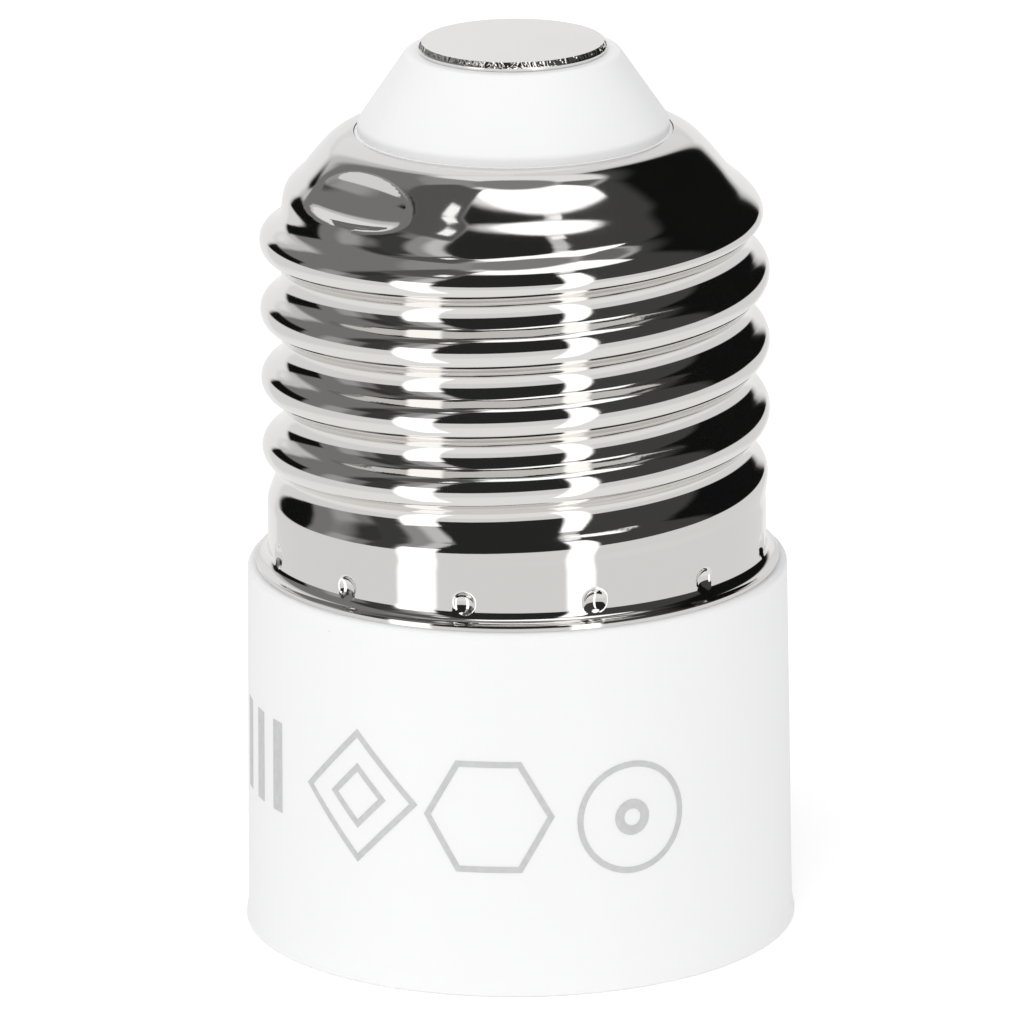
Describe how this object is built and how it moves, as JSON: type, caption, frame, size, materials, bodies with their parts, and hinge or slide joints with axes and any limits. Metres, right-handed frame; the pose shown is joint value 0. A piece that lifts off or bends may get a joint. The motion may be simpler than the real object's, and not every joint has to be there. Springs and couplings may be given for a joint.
{
  "type": "lamp socket adapter",
  "caption": "Screw lamp adapter: a large rolled screw cap with a centre contact on a white insulating barrel whose mouth takes a smaller screw-cap lamp.",
  "frame": {"origin": "centre of the barrel's mouth face, on the axis, where the adapter stands", "axes": "+Z along the axis, from the lamp's mouth to the centre contact; -Y is the side that the picture shows"},
  "size_m": [0.0286, 0.0286, 0.0464],
  "materials": {
    "white_plastic": "satin moulded",
    "plated_shell": "bright nickel plate on rolled sheet",
    "contact_metal": "satin nickel plate",
    "plated_sheet": "nickel plate",
    "spring_bronze": "rolled bronze strip"
  },
  "bodies": {
    "root": {"insulator_body": "white_plastic", "screw_shell": "plated_shell", "centre_contact": "contact_metal", "inner_sleeve": "plated_sheet", "contact_strip": "spring_bronze", "link_strip": "plated_sheet"}
  },
  "joints": []
}
